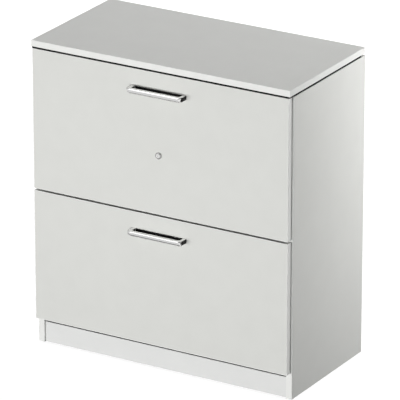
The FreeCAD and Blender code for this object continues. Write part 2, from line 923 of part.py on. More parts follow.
def save_carcass():
    save("top_panel", [top_panel()])
    save("top_edge_bands", top_edge_bands())
    save("shadow_gap_strips", shadow_gap_strips())
    side = right_side()
    save("right_side", [side])
    save("left_side", [mirrored(side)])
    save("side_edge_bands", side_edge_bands())
    save("bottom_panel", [bottom_panel()])
    save("top_front_rail", [top_front_rail()])
    save("top_rear_rail", [top_rear_rail()])
    save("back_panel", [back_panel()])
    save("front_plinth", [front_plinth()])
    save("rear_plinth", [rear_plinth()])
    save("cam_fittings", cam_fittings())
    save("carcass_screws", top_screws() + back_screws())
    save("slide_screws", slide_screws())
    save("foot_sockets", foot_sockets())
    for name, x, y in foot_places():
        save("foot_" + name, [foot(x, y)])
    save("strike_plate", [strike_plate()])


def save_drawer(prefix, front_bottom, front_top, front):
    level = handle_level(front_top)
    z0, z1 = box_levels(front_bottom, front_top)
    slide_level = z0 + slide_rise
    save(prefix + "_front", [front])
    save(prefix + "_front_bands", front_bands(front_bottom, front_top))
    save(prefix + "_handle", [handle(level)])
    save(prefix + "_recess", [recess_cup(level)])
    save(prefix + "_screws", handle_screws(level) + box_screws(z0, z1) + rivets(slide_level))
    save(prefix + "_box_front", [box_front(z0, z1)])
    save(prefix + "_box_sides", box_sides(z0, z1))
    save(prefix + "_box_rear", [box_rear(z0, z1)])
    save(prefix + "_box_floor", [box_floor(z0)])
    save(prefix + "_hang_rails", hang_rails(z1))
    save(prefix + "_bumpers", bumpers(front_bottom, front_top))
    save(prefix + "_outer_slides", outer_slides(slide_level))
    save(prefix + "_middle_slides", middle_slides(slide_level))
    save(prefix + "_inner_slides", inner_slides(slide_level))
    save(prefix + "_outer_cages", outer_cages(slide_level))
    save(prefix + "_inner_cages", inner_cages(slide_level))


def save_lock():
    save("lock_housing", [lock_housing()])
    save("lock_plug", [lock_plug()])
    save("lock_pinion", [lock_pinion()])
    save("lock_rod_up", [lock_rod_up()])
    save("lock_rod_down", [lock_rod_down()])
    save("rod_guides", rod_guides())
    save("lock_catch", [lock_catch()])


os.makedirs("parts", exist_ok=True)
lock_bore = hole_y(0, lock_z, face_y, front_back_y, lock_barrel_radius)
upper_board = front_board(upper_front_bottom, upper_front_top).cut(lock_bore)
lower_board = front_board(lower_front_bottom, lower_front_top)
save_carcass()
save_drawer("upper", upper_front_bottom, upper_front_top, upper_board)
save_drawer("lower", lower_front_bottom, lower_front_top, lower_board)
save_lock()
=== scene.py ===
# Looks of a two-drawer lateral filing cabinet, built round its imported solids. Metres, Z up, fronts at -Y.
import json
import math
import bmesh
import bpy
from mathutils import Matrix, Vector

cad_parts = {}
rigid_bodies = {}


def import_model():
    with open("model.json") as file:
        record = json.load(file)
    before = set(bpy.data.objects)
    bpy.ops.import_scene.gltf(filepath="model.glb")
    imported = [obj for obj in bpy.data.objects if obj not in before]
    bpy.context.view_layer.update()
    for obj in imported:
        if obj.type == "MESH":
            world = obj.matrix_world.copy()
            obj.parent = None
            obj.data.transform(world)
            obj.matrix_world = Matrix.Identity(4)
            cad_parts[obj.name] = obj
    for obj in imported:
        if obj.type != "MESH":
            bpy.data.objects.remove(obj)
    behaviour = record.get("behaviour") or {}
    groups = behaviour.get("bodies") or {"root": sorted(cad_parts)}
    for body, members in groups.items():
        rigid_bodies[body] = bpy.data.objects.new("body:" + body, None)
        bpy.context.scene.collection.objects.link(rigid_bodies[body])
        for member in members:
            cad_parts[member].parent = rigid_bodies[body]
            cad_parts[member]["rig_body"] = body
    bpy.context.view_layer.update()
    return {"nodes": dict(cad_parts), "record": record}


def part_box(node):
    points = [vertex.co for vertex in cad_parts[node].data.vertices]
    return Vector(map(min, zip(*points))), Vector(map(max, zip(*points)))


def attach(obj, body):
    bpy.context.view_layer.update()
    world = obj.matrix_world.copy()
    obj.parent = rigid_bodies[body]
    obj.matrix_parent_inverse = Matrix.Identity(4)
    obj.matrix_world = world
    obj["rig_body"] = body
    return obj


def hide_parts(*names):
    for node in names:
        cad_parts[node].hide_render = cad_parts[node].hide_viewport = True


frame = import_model()
MM = 0.001
X, Y, Z = 0, 1, 2

# Finish of edges and sheets
arris = 0.3 * MM
top_band_radius = 1.5 * MM
front_band_radius = 0.8 * MM
band_seam = 0.1 * MM
corner_seam = 0.5 * MM
sheet = 1.2 * MM
bend_radius = 1.6 * MM
same_place = 0.001 * MM
place_digits = 6

# Shader building blocks

noise_low = 0.3
noise_high = 0.7


def blank_material(name):
    """A new node material, with its tree and its main shader."""
    material = bpy.data.materials.new(name)
    material.use_nodes = True
    tree = material.node_tree
    return material, tree, tree.nodes["Principled BSDF"]


def grain(tree, size, detail=2.0, stretch=(1, 1, 1)):
    """Noise with grains of about this size in metres, drawn out along the axes of the piece."""
    place = tree.nodes.new("ShaderNodeTexCoord")
    mapping = tree.nodes.new("ShaderNodeMapping")
    mapping.inputs["Scale"].default_value = [1 / factor for factor in stretch]
    noise = tree.nodes.new("ShaderNodeTexNoise")
    noise.inputs["Scale"].default_value = 1 / size
    noise.inputs["Detail"].default_value = detail
    tree.links.new(place.outputs["Object"], mapping.inputs["Vector"])
    tree.links.new(mapping.outputs["Vector"], noise.inputs["Vector"])
    return noise.outputs["Fac"]


def spread(tree, value, low, high):
    """Maps the middle of a noise value to a range."""
    ranged = tree.nodes.new("ShaderNodeMapRange")
    ranged.inputs["From Min"].default_value = noise_low
    ranged.inputs["From Max"].default_value = noise_high
    ranged.inputs["To Min"].default_value = low
    ranged.inputs["To Max"].default_value = high
    tree.links.new(value, ranged.inputs["Value"])
    return ranged.outputs["Result"]


def tint(tree, value, first, second):
    """Colour that goes from the first to the second with a noise value."""
    ramp = tree.nodes.new("ShaderNodeValToRGB")
    ramp.color_ramp.elements[0].position = noise_low
    ramp.color_ramp.elements[1].position = noise_high
    ramp.color_ramp.elements[0].color = (*first, 1)
    ramp.color_ramp.elements[1].color = (*second, 1)
    tree.links.new(value, ramp.inputs["Fac"])
    return ramp.outputs["Color"]


def relief(tree, shader, value, depth):
    """Surface relief of a real depth in metres."""
    bump = tree.nodes.new("ShaderNodeBump")
    bump.inputs["Distance"].default_value = depth
    tree.links.new(value, bump.inputs["Height"])
    tree.links.new(bump.outputs["Normal"], shader.inputs["Normal"])


def shades(colour, share):
    """A colour a little darker and a little lighter than the one given."""
    return [channel * (1 - share) for channel in colour], [channel * (1 + share) for channel in colour]


materials = {}


def textured(name, colour, variation, patch, rough, relief_size, relief_depth,
             stretch=(1, 1, 1), metallic=0.0, specular=0.5):
    """A finish with uneven colour and sheen in patches, and a fine relief."""
    material, tree, shader = blank_material(name)
    patches = grain(tree, patch, detail=3.0, stretch=stretch)
    fine = grain(tree, relief_size, detail=2.0, stretch=stretch)
    tree.links.new(tint(tree, patches, *shades(colour, variation)), shader.inputs["Base Color"])
    tree.links.new(spread(tree, fine, *rough), shader.inputs["Roughness"])
    relief(tree, shader, fine, relief_depth)
    shader.inputs["Metallic"].default_value = metallic
    shader.inputs["Specular IOR Level"].default_value = specular
    materials[name] = material


# Materials: one for each slot of the record, and a few variants

textured("faced_board", (0.62, 0.625, 0.60), variation=0.012, patch=60 * MM, rough=(0.38, 0.48),
         relief_size=0.6 * MM, relief_depth=0.02 * MM)
# A lighter copy of the board, used on the front plinth only: painted light that stands in for the light the
# floor throws back on it.
textured("bounce_lit_board", (0.68, 0.685, 0.675), variation=0.012, patch=60 * MM, rough=(0.38, 0.48),
         relief_size=0.6 * MM, relief_depth=0.02 * MM)
textured("edge_banding", (0.74, 0.745, 0.725), variation=0.01, patch=40 * MM, rough=(0.32, 0.4),
         relief_size=0.5 * MM, relief_depth=0.01 * MM)
# Near black. Under the top it is the packing in the shadow gap; the strip over the front plinth is a dark
# sheet that stands in for the shade under the lower front: painted shade.
textured("dark_strip", (0.004, 0.004, 0.004), variation=0.2, patch=20 * MM, rough=(0.7, 0.85),
         relief_size=1 * MM, relief_depth=0.05 * MM, specular=0.1)
textured("satin_chrome", (0.78, 0.78, 0.775), variation=0.03, patch=6 * MM, rough=(0.09, 0.13),
         relief_size=0.3 * MM, relief_depth=0.0005 * MM, stretch=(20, 1, 1), metallic=1.0)
textured("lock_ring", (0.45, 0.45, 0.445), variation=0.03, patch=6 * MM, rough=(0.14, 0.2),
         relief_size=0.3 * MM, relief_depth=0.0005 * MM, metallic=1.0)
textured("lock_plug", (0.95, 0.95, 0.94), variation=0.03, patch=6 * MM, rough=(0.34, 0.42),
         relief_size=0.3 * MM, relief_depth=0.0005 * MM, metallic=1.0)
# Black of the finger recesses; also used for the painted reflection on the outer handle legs.
textured("black_plastic", (0.006, 0.006, 0.006), variation=0.2, patch=10 * MM, rough=(0.45, 0.6),
         relief_size=0.4 * MM, relief_depth=0.02 * MM, specular=0.25)
textured("foot_plastic", (0.022, 0.022, 0.023), variation=0.15, patch=8 * MM, rough=(0.38, 0.5),
         relief_size=0.5 * MM, relief_depth=0.02 * MM)
textured("grey_paint", (0.62, 0.625, 0.615), variation=0.015, patch=50 * MM, rough=(0.34, 0.46),
         relief_size=1.2 * MM, relief_depth=0.03 * MM)
textured("zinc_steel", (0.6, 0.61, 0.62), variation=0.1, patch=9 * MM, rough=(0.26, 0.42),
         relief_size=0.8 * MM, relief_depth=0.01 * MM, stretch=(1, 6, 1), metallic=1.0)
textured("aluminium_rail", (0.72, 0.72, 0.73), variation=0.03, patch=8 * MM, rough=(0.28, 0.38),
         relief_size=0.3 * MM, relief_depth=0.006 * MM, stretch=(40, 1, 1), metallic=1.0)
textured("soft_pad", (0.7, 0.7, 0.68), variation=0.05, patch=5 * MM, rough=(0.3, 0.4),
         relief_size=1 * MM, relief_depth=0.01 * MM)

# What the frame says about places


def part_boxes(node):
    """Lowest and highest corner of each separate solid in a node, sorted from left to right."""
    mesh = frame["nodes"][node].data
    keys = [tuple(round(c, place_digits) for c in vertex.co) for vertex in mesh.vertices]
    leader = {key: key for key in keys}

    def find(key):
        while leader[key] != key:
            leader[key] = leader[leader[key]]
            key = leader[key]
        return key

    for polygon in mesh.polygons:
        first = find(keys[polygon.vertices[0]])
        for index in polygon.vertices[1:]:
            leader[find(keys[index])] = first
    groups = {}
    for key in leader:
        groups.setdefault(find(key), []).append(key)
    boxes = [(Vector(map(min, *points)), Vector(map(max, *points))) for points in groups.values()]
    return sorted(boxes, key=lambda box: tuple(box[0]))


def body_of_node(node):
    return frame["nodes"][node]["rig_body"]


def slot_of_node(node):
    return next(part["material_slot"] for part in frame["record"]["subparts"] if part["node"] == node)


# Mesh building blocks


def edges_at(verts):
    return {edge for vert in verts for edge in vert.link_edges}


def ease(bm, edges, radius, steps):
    """Rounds some edges of a shape."""
    bmesh.ops.bevel(bm, geom=list(edges), offset=radius, segments=steps, profile=0.5, affect="EDGES")


def block(bm, low, high, radius=arris, steps=2):
    """A box with eased edges."""
    low, high = Vector(low), Vector(high)
    place = Matrix.LocRotScale((low + high) / 2, None, high - low)
    verts = bmesh.ops.create_cube(bm, size=1, matrix=place)["verts"]
    if radius:
        ease(bm, edges_at(verts), radius, steps)


def band_block(bm, low, high, axis, radius, along=None, steps=4):
    """An edge band: a box rounded where its outer face along one axis ends."""
    low, high = Vector(low), Vector(high)
    level = high[axis] if (low + high)[axis] > 0 else low[axis]
    place = Matrix.LocRotScale((low + high) / 2, None, high - low)
    verts = bmesh.ops.create_cube(bm, size=1, matrix=place)["verts"]
    chosen = []
    for edge in edges_at(verts):
        first, second = (vert.co for vert in edge.verts)
        on_face = abs(first[axis] - level) < same_place and abs(second[axis] - level) < same_place
        if on_face and (along is None or abs(first[along] - second[along]) > same_place):
            chosen.append(edge)
    ease(bm, chosen, radius, steps)


def stack(bm, rings, joined=False):
    """A skin over rings of points. The ends are closed, or joined to each other."""
    made = [[bm.verts.new(point) for point in ring] for ring in rings]
    pairs = list(zip(made, made[1:]))
    if joined:
        pairs.append((made[-1], made[0]))
    else:
        bm.faces.new(made[0][::-1])
        bm.faces.new(made[-1])
    for first, second in pairs:
        for index in range(len(first)):
            following = (index + 1) % len(first)
            bm.faces.new((first[index], first[following], second[following], second[index]))


def in_plane(axis, level, point):
    """A point from its two coordinates in a plane across an axis, in the order of the other axes."""
    made = list(point)
    made.insert(axis, level)
    return Vector(made)


def circle(centre, axis, radius, steps):
    turn = 2 * math.pi / steps
    flat = [(radius * math.cos(turn * step), radius * math.sin(turn * step)) for step in range(steps)]
    return [Vector(centre) + in_plane(axis, 0, point) for point in flat]


def turned(bm, centre, axis, profile, steps=32, joined=False):
    """A turned shape from (radius, distance along the axis) points."""
    rings = []
    for radius, distance in profile:
        middle = Vector(centre)
        middle[axis] += distance
        rings.append(circle(middle, axis, radius, steps))
    stack(bm, rings, joined)


def corner_arc(before, here, after, radius, steps):
    """Points of a rounded corner of a flat outline."""
    first = (before - here).normalized()
    second = (after - here).normalized()
    half = math.acos(max(-1.0, min(1.0, first.dot(second)))) / 2
    start = here + first * (radius / math.tan(half))
    end = here + second * (radius / math.tan(half))
    centre = here + (first + second).normalized() * (radius / math.sin(half))
    arm, last = start - centre, end - centre
    sweep = math.pi - 2 * half
    points = []
    for step in range(steps + 1):
        share = step / steps
        points.append(centre + (arm * math.sin((1 - share) * sweep) + last * math.sin(share * sweep))
                      / math.sin(sweep))
    return points


def rounded_corners(half_u, half_v, radii, steps=5):
    """Flat outline of a rectangle about its middle. The radii start at the upper right corner."""
    corners = [Vector((half_u, half_v)), Vector((-half_u, half_v)), Vector((-half_u, -half_v)),
               Vector((half_u, -half_v))]
    points = []
    for index, radius in enumerate(radii):
        points += corner_arc(corners[index - 1], corners[index], corners[(index + 1) % 4], radius, steps)
    return points


def rounded_rectangle(half_u, half_v, radius, steps=5):
    return rounded_corners(half_u, half_v, [radius] * 4, steps)


def bent_strip(corners, steps=4):
    """Flat outline of a strip of sheet whose middle follows the corners in round bends."""
    corners = [Vector(corner) for corner in corners]
    line = [corners[0]]
    for before, here, after in zip(corners, corners[1:], corners[2:]):
        line += corner_arc(before, here, after, bend_radius, steps)
    line.append(corners[-1])
    left, right = [], []
    for index, point in enumerate(line):
        heading = (line[min(index + 1, len(line) - 1)] - line[max(index - 1, 0)]).normalized()
        across = Vector((-heading.y, heading.x)) * (sheet / 2)
        left.append(point + across)
        right.append(point - across)
    return left + right[::-1]


def drawn_out(bm, outline, axis, start, end):
    """A flat outline drawn out along an axis."""
    stack(bm, [[in_plane(axis, level, point) for point in outline] for level in (start, end)])


def ticks(length, places):
    """Grid lines from 0 to a length, close together round some places."""
    inside = {round(place, place_digits) for place in places if 0 < place < length}
    return [0.0] + sorted(inside) + [length]


bead_half = 8 * MM
bead_depth = 2.5 * MM
bead_steps = 4
bead_shares = [step / bead_steps for step in range(-bead_steps, bead_steps + 1)]


def bead_height(point, beads):
    """How far a pressed sheet stands out at a point, from the beads' centre lines."""
    tallest = 0.0
    for start, end in beads:
        start, end = Vector(start), Vector(end)
        share = (point - start).dot(end - start) / (end - start).length_squared
        nearest = start + (end - start) * max(0.0, min(1.0, share))
        reach = (point - nearest).length / bead_half
        if reach < 1:
            tallest = max(tallest, bead_depth * (1 + math.cos(math.pi * reach)) / 2)
    return tallest


def pressed_sheet(bm, corner, across, up, size, beads, press):
    """A flat sheet with long beads pressed into it. across, up and press are directions."""
    corner, across, up, press = Vector(corner), Vector(across), Vector(up), Vector(press)
    columns, rows = [], []
    for bead in beads:
        for u, v in bead:
            columns += [u + bead_half * share for share in bead_shares]
            rows += [v + bead_half * share for share in bead_shares]
    columns, rows = ticks(size[0], columns), ticks(size[1], rows)
    layers = []
    for depth in (0.0, sheet):
        grid = []
        for u in columns:
            line = []
            for v in rows:
                raised = press * (bead_height(Vector((u, v)), beads) + depth)
                line.append(bm.verts.new(corner + across * u + up * v + raised))
            grid.append(line)
        layers.append(grid)
    last_column, last_row = len(columns) - 1, len(rows) - 1
    for grid in layers:
        for i in range(last_column):
            for j in range(last_row):
                bm.faces.new((grid[i][j], grid[i + 1][j], grid[i + 1][j + 1], grid[i][j + 1]))
    rim = [(i, 0) for i in range(last_column)] + [(last_column, j) for j in range(last_row)]
    rim += [(i, last_row) for i in range(last_column, 0, -1)] + [(0, j) for j in range(last_row, 0, -1)]
    near, far = layers
    for (i, j), (k, m) in zip(rim, rim[1:] + rim[:1]):
        bm.faces.new((near[i][j], near[k][m], far[k][m], far[i][j]))


def add_mirror(bm):
    """Adds the left-hand twin of a right-hand shape."""
    twin = bmesh.ops.duplicate(bm, geom=bm.verts[:] + bm.edges[:] + bm.faces[:])["geom"]
    for item in twin:
        if isinstance(item, bmesh.types.BMVert):
            item.co.x = -item.co.x
    bmesh.ops.reverse_faces(bm, faces=[item for item in twin if isinstance(item, bmesh.types.BMFace)])


def join(bm, other):
    """Adds the second shape to the first."""
    mesh = bpy.data.meshes.new("joined")
    other.to_mesh(mesh)
    other.free()
    bm.from_mesh(mesh)
    bpy.data.meshes.remove(mesh)


def loose_object(name, bm):
    """A new object made from a shape, which is used up."""
    bmesh.ops.recalc_face_normals(bm, faces=bm.faces)
    mesh = bpy.data.meshes.new(name)
    bm.to_mesh(mesh)
    bm.free()
    made = bpy.data.objects.new(name, mesh)
    bpy.context.scene.collection.objects.link(made)
    return made


def carved(solid, cutter):
    """The first shape less the second."""
    target = loose_object("carved", solid)
    tool = loose_object("cutter", cutter)
    cut = target.modifiers.new("cut", "BOOLEAN")
    cut.operation = "DIFFERENCE"
    cut.solver = "EXACT"
    cut.object = tool
    made = bmesh.new()
    made.from_object(target, bpy.context.evaluated_depsgraph_get())
    for spent in (target, tool):
        mesh = spent.data
        bpy.data.objects.remove(spent)
        bpy.data.meshes.remove(mesh)
    return made


def flat_faces(made):
    """Keeps the large faces flat in the shading, beside eased edges."""
    weighted = made.modifiers.new("flat_faces", "WEIGHTED_NORMAL")
    weighted.keep_sharp = True


sharp_angle = math.radians(40)


def smooth_shading(made):
    """Smooth shading that stays sharp at the sharper edges."""
    made.data.shade_smooth()
    made.data.set_sharp_from_angle(angle=sharp_angle)
    flat_faces(made)


def piece(name, bm, node, *more_nodes, material=None):
    """Finishes a shape as the piece that stands for one or more solids."""
    made = loose_object(name, bm)
    slot = slot_of_node(node)
    made.data.materials.append(materials[material or slot])
    smooth_shading(made)
    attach(made, body_of_node(node))
    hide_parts(node, *more_nodes)


def thin_axis(low, high):
    """The axis along which a box is thinnest."""
    size = high - low
    return min((X, Y, Z), key=lambda axis: size[axis])


# Boards and edge bands


def plain_board(name, node, material=None):
    """A board with eased edges, as large as its solid."""
    bm = bmesh.new()
    block(bm, *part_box(node))
    piece(name, bm, node, material=material)


def top_board():
    """Board of the cover top. It is a little small, so that a fine seam shows along its bands."""
    low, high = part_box("top_panel")
    gap = Vector((band_seam, band_seam, 0))
    bm = bmesh.new()
    block(bm, low + gap, high - gap, band_seam)
    piece("top_board", bm, "top_panel")


def top_bands():
    """Bands round the cover top."""
    bm = bmesh.new()
    for low, high in part_boxes("top_edge_bands"):
        axis = thin_axis(low, high)
        band_block(bm, low, high, axis, top_band_radius, Y if axis == X else None)
    piece("top_bands", bm, "top_edge_bands")


def side_bands():
    """Bands on the front edges of the side boards, with a seam behind them."""
    bm = bmesh.new()
    for low, high in part_boxes("side_edge_bands"):
        high.y -= corner_seam
        band_block(bm, low, high, Y, front_band_radius)
    piece("side_bands", bm, "side_edge_bands")


def drawer_front(prefix):
    """Front board with the pocket that takes the finger recess."""
    low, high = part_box(prefix + "_front")
    gap = Vector((band_seam, 0, band_seam))
    solid = bmesh.new()
    block(solid, low + gap, high - gap, band_seam)
    cup_low, cup_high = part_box(prefix + "_recess")
    middle = (cup_low + cup_high) / 2
    half = (cup_high - cup_low) / 2
    cutter = bmesh.new()
    outline = [(u + middle.x, v + middle.z) for u, v in rounded_rectangle(half.x, half.z, recess_corner)]
    drawn_out(cutter, outline, Y, low.y - half.y, cup_high.y)
    if prefix == "upper":
        ring_low, ring_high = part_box("lock_housing")
        lock_middle = (ring_low + ring_high) / 2
        turned(cutter, (lock_middle.x, 0, lock_middle.z), Y, [(barrel_radius, low.y - half.y),
                                                               (barrel_radius, high.y + half.y)])
    piece(prefix + "_front_board", carved(solid, cutter), prefix + "_front")


def drawer_front_bands(prefix):
    """Bands round a drawer front."""
    bm = bmesh.new()
    for low, high in part_boxes(prefix + "_front_bands"):
        axis = thin_axis(low, high)
        band_block(bm, low, high, axis, front_band_radius, X if axis == Z else None)
    piece(prefix + "_front_banding", bm, prefix + "_front_bands")


# Handles, finger recesses and lock

handle_strap = 12 * MM
handle_rounds = (4 * MM, 2 * MM, 2 * MM, 8 * MM)
handle_round_steps = 9
handle_bend = 13 * MM
handle_inner_bend = 5 * MM
bow_steps = 14
# The black skin on the outer legs is painted reflection: it stands in for the dark that the chrome legs
# would mirror.
dark_reflection_start = math.radians(60)
dark_reflection_thickness = 2.5 * MM
dark_reflection_proud = 0.2 * MM
recess_corner = 4 * MM
recess_wall = 1.2 * MM
recess_lip = 0.3 * MM
recess_foot = 1.5 * MM
barrel_radius = 8 * MM


def bow_line(half, out_y, bend, base_y):
    """Plan of one side of the bow, from the drawer face round its two bends and back."""
    line = [Vector((-half, base_y))]
    for side, start in ((-1, 180), (1, 270)):
        centre = Vector((side * (half - bend), out_y + bend))
        for step in range(bow_steps + 1):
            angle = math.radians(start + 90 * step / bow_steps)
            line.append(centre + bend * Vector((math.cos(angle), math.sin(angle))))
    line.append(Vector((half, base_y)))
    return line


def handle_section(half_u, half_z):
    """Section of the strap, from its inner to its outer side, with a soft lower front."""
    return rounded_corners(half_u, half_z, handle_rounds, handle_round_steps)


def bow_handle(prefix):
    """Rounded strap bent to a bow, from the drawer face and back to it."""
    low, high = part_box(prefix + "_handle")
    middle_z = (low.z + high.z) / 2
    outer = bow_line(high.x, low.y, handle_bend, high.y)
    inner = bow_line(high.x - handle_strap, low.y + handle_strap, handle_inner_bend, high.y)
    rings = []
    for near, far in zip(inner, outer):
        middle = (near + far) / 2
        across = (far - near).normalized()
        section = handle_section((far - near).length / 2, (high.z - low.z) / 2)
        rings.append([(middle.x + across.x * u, middle.y + across.y * u, middle_z + v) for u, v in section])
    bm = bmesh.new()
    stack(bm, rings)
    piece(prefix + "_bow_handle", bm, prefix + "_handle")


def painted_leg_reflection(prefix):
    """Black skin on the outer side of each leg, from the bend to the drawer face: a painted reflection, dark
    where the chrome legs would mirror dark surroundings.
    """
    low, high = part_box(prefix + "_handle")
    middle_z = (low.z + high.z) / 2
    half_z = (high.z - low.z) / 2 + dark_reflection_proud
    half_u = handle_strap / 2 + dark_reflection_proud
    section = [point for point in handle_section(half_u, half_z) if point.x > half_u - dark_reflection_thickness]
    centre = Vector((high.x - handle_bend, low.y + handle_bend))
    spine = []
    for step in range(bow_steps + 1):
        angle = dark_reflection_start + (math.pi / 2 - dark_reflection_start) * step / bow_steps
        outward = Vector((math.sin(angle), -math.cos(angle)))
        spine.append((centre + outward * (handle_bend + dark_reflection_proud - half_u), outward))
    spine.append((Vector((spine[-1][0].x, high.y)), spine[-1][1]))
    rings = []
    for place, outward in spine:
        rings.append([(place.x + outward.x * u, place.y + outward.y * u, middle_z + v) for u, v in section])
    bm = bmesh.new()
    stack(bm, rings)
    add_mirror(bm)
    leg_reflection = loose_object(prefix + "_painted_leg_reflection", bm)
    leg_reflection.data.materials.append(materials["black_plastic"])
    smooth_shading(leg_reflection)
    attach(leg_reflection, body_of_node(prefix + "_handle"))


def finger_recess(prefix):
    """Moulded cup with a soft lip and a rounded floor."""
    low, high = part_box(prefix + "_recess")
    middle = (low + high) / 2
    half = (high - low) / 2
    inner = recess_wall
    levels = [(0, high.y), (0, low.y + recess_lip), (recess_lip, low.y), (inner - recess_lip, low.y),
              (inner, low.y + recess_lip), (inner, high.y - inner - recess_foot),
              (inner + recess_foot / 3, high.y - inner - recess_foot / 3),
              (inner + recess_foot, high.y - inner)]
    rings = []
    for inset, y in levels:
        outline = rounded_rectangle(half.x - inset, half.z - inset, recess_corner - inset)
        rings.append([(middle.x + u, y, middle.z + v) for u, v in outline])
    bm = bmesh.new()
    stack(bm, rings)
    piece(prefix + "_finger_recess", bm, prefix + "_recess")


lock_ring_radius = 9.5 * MM
lock_ring_round = 1.2 * MM
lock_plug_radius = 6 * MM
lock_bore = 6.15 * MM
lock_bore_chamfer = 0.4 * MM
lock_round_steps = 5
lock_steps = 48
case_round = 1.2 * MM
case_round_steps = 3
rod_play = 0.4 * MM
key_slot = Vector((1.2 * MM, 9 * MM, 6.5 * MM))


def lock_face():
    """Ring, barrel and gear case of the lock."""
    low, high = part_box("lock_housing")
    middle = (low + high) / 2
    face_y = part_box("upper_front")[0].y
    back_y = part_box("upper_front")[1].y
    proud = face_y - low.y
    profile = [(lock_bore, back_y - face_y), (lock_bore, -proud + lock_bore_chamfer),
               (lock_bore + lock_bore_chamfer, -proud)]
    for step in range(lock_round_steps + 1):
        angle = math.pi / 2 * step / lock_round_steps
        profile.append((lock_ring_radius - lock_ring_round * (1 - math.sin(angle)),
                        -proud + lock_ring_round * (1 - math.cos(angle))))
    profile += [(lock_ring_radius, 0), (barrel_radius, 0), (barrel_radius, back_y - face_y)]
    bm = bmesh.new()
    turned(bm, (middle.x, face_y, middle.z), Y, profile, lock_steps, joined=True)
    case = bmesh.new()
    block(case, (low.x, back_y, low.z), high, case_round, case_round_steps)
    rod_low, rod_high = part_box("lock_rod_up")
    way = -rod_low.x + rod_play
    cutter = bmesh.new()
    block(cutter, (-way, rod_low.y - rod_play, low.z - way), (way, rod_high.y + rod_play, high.z + way), 0)
    join(bm, carved(case, cutter))
    piece("lock_ring_and_case", bm, "lock_housing", material="lock_ring")


plug_shaft = 4 * MM
plug_ease = 0.5 * MM
plug_dish_depth = 0.25 * MM
plug_dish_floor = 3.9 * MM
plug_dish_rim = 4.4 * MM


def lock_plug():
    """Turning part of the lock, with a dished face, a key slot and the shaft of the pinion."""
    low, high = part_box("lock_plug")
    middle = (low + high) / 2
    back_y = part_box("upper_front")[1].y
    profile = [(plug_dish_floor, low.y + plug_dish_depth), (plug_dish_rim, low.y),
               (lock_plug_radius - plug_ease, low.y), (lock_plug_radius, low.y + plug_ease),
               (lock_plug_radius, back_y), (plug_shaft, back_y), (plug_shaft, high.y)]
    solid = bmesh.new()
    turned(solid, (middle.x, 0, middle.z), Y, profile, lock_steps)
    cutter = bmesh.new()
    start = Vector((middle.x, low.y, middle.z)) - key_slot / 2
    block(cutter, start, start + key_slot, 0)
    piece("lock_cylinder", carved(solid, cutter), "lock_plug", material="lock_plug")


# Drawer boxes

side_bead_shares = (0.42, 0.7)
side_bead_inset = 30 * MM
side_hem = 10 * MM
end_bead_shares = (0.3, 0.6)
end_bead_inset = 40 * MM
floor_bead_inset = 35 * MM
floor_beads = 6
fold_reach = 20 * MM
front_fold_reach = 32 * MM
front_foot = 20 * MM
driver_hole = 6 * MM
driver_hole_inset = 20 * MM


def folded_ends(bm, strip):
    """Adds a folded strip at the right-hand end of a sheet, and its twin at the left."""
    add_mirror(strip)
    join(bm, strip)


def box_sides(prefix):
    """Two side walls, each with two beads and a hem along its upper edge."""
    low, high = part_boxes(prefix + "_box_sides")[-1]
    depth = high.y - low.y
    rise = high.z - low.z
    beads = []
    for share in side_bead_shares:
        beads.append(((side_bead_inset, share * rise), (depth - side_bead_inset, share * rise)))
    bm = bmesh.new()
    pressed_sheet(bm, (low.x + sheet, low.y, low.z), (0, 1, 0), (0, 0, 1), (depth, rise - side_hem),
                  beads, (-1, 0, 0))
    hem = bent_strip([(low.x + sheet / 2, high.z - side_hem), (low.x + sheet / 2, high.z - sheet / 2),
                      (high.x, high.z - sheet / 2)])
    drawn_out(bm, hem, Y, low.y, high.y)
    add_mirror(bm)
    piece(prefix + "_box_walls", bm, prefix + "_box_sides")


def end_beads(width, rise):
    """Level beads of a rear wall or inner front."""
    return [((end_bead_inset, share * rise), (width - end_bead_inset, share * rise))
            for share in end_bead_shares]


def box_rear(prefix):
    """Rear wall: a beaded web between two ends that fold back."""
    low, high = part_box(prefix + "_box_rear")
    rise = high.z - low.z
    width = high.x - low.x - 2 * fold_reach
    bm = bmesh.new()
    pressed_sheet(bm, (low.x + fold_reach, low.y, low.z), (1, 0, 0), (0, 0, 1), (width, rise),
                  end_beads(width, rise), (0, 1, 0))
    middle_y = low.y + sheet / 2
    side_x = high.x - sheet / 2
    strip = bmesh.new()
    drawn_out(strip, bent_strip([(high.x - fold_reach, middle_y), (side_x, middle_y), (side_x, high.y)]),
              Z, low.z, high.z)
    folded_ends(bm, strip)
    piece(prefix + "_box_back", bm, prefix + "_box_rear")


def box_floor(prefix):
    """Floor: a beaded sheet between two ends that fold down."""
    low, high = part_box(prefix + "_box_floor")
    width = high.x - low.x - 2 * fold_reach
    depth = high.y - low.y
    places = [width * (index + 0.5) / floor_beads for index in range(floor_beads)]
    beads = [((place, floor_bead_inset), (place, depth - floor_bead_inset)) for place in places]
    bm = bmesh.new()
    pressed_sheet(bm, (low.x + fold_reach, low.y, high.z), (1, 0, 0), (0, 1, 0), (width, depth),
                  beads, (0, 0, -1))
    middle_z = high.z - sheet / 2
    side_x = high.x - sheet / 2
    strip = bmesh.new()
    drawn_out(strip, bent_strip([(high.x - fold_reach, middle_z), (side_x, middle_z), (side_x, low.z)]),
              Y, low.y, high.y)
    folded_ends(bm, strip)
    piece(prefix + "_box_bottom", bm, prefix + "_box_floor")


